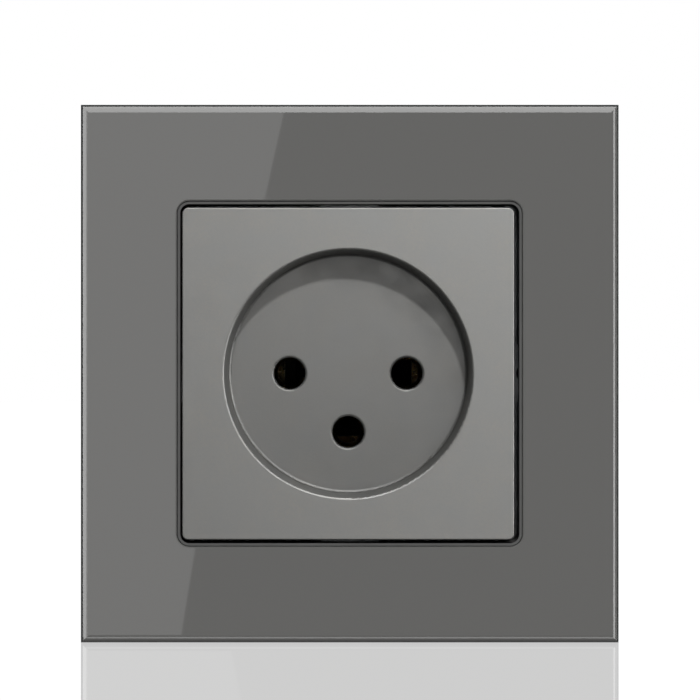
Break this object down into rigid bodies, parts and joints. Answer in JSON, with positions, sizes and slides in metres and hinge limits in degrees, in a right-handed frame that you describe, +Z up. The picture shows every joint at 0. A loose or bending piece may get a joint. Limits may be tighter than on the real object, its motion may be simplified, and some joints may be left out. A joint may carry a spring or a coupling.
{
  "type": "wall socket outlet",
  "caption": "Square flush wall socket outlet with a glass frame, a round plug recess and round pin holes.",
  "frame": {"origin": "middle of the bracket's back on the surface of the wall, midway between the wall-screw slots", "axes": "+X to the right seen from the room, +Z up, +Y into the wall; the front looks along -Y"},
  "size_m": [0.086, 0.0397, 0.086],
  "materials": {
    "glass": "clear tempered glass, printed grey behind, polished edges",
    "tape": "foam tape",
    "carrier": "moulded, fine texture",
    "bracket": "zinc plated, pressed",
    "face": "satin grey lacquer",
    "cover": "moulded",
    "housing": "moulded, fine texture",
    "contact_brass": "stamped",
    "cage_brass": "machined",
    "spring_steel": "blued spring steel",
    "screw_steel": "zinc plated"
  },
  "bodies": {
    "root": {"glass_panel": "glass", "panel_tape": "tape", "panel_carrier": "carrier", "mounting_bracket": "bracket", "face_insert": "face", "contact_cover": "cover", "rear_housing": "housing", "body_screws": "screw_steel", "live_contact": "contact_brass", "live_contact_spring": "spring_steel", "live_terminal_cage": "cage_brass", "live_terminal_screw": "screw_steel", "neutral_contact": "contact_brass", "neutral_contact_spring": "spring_steel", "neutral_terminal_cage": "cage_brass", "neutral_terminal_screw": "screw_steel", "earth_contact": "contact_brass", "earth_contact_spring": "spring_steel", "earth_terminal_cage": "cage_brass", "earth_terminal_screw": "screw_steel"}
  },
  "joints": []
}
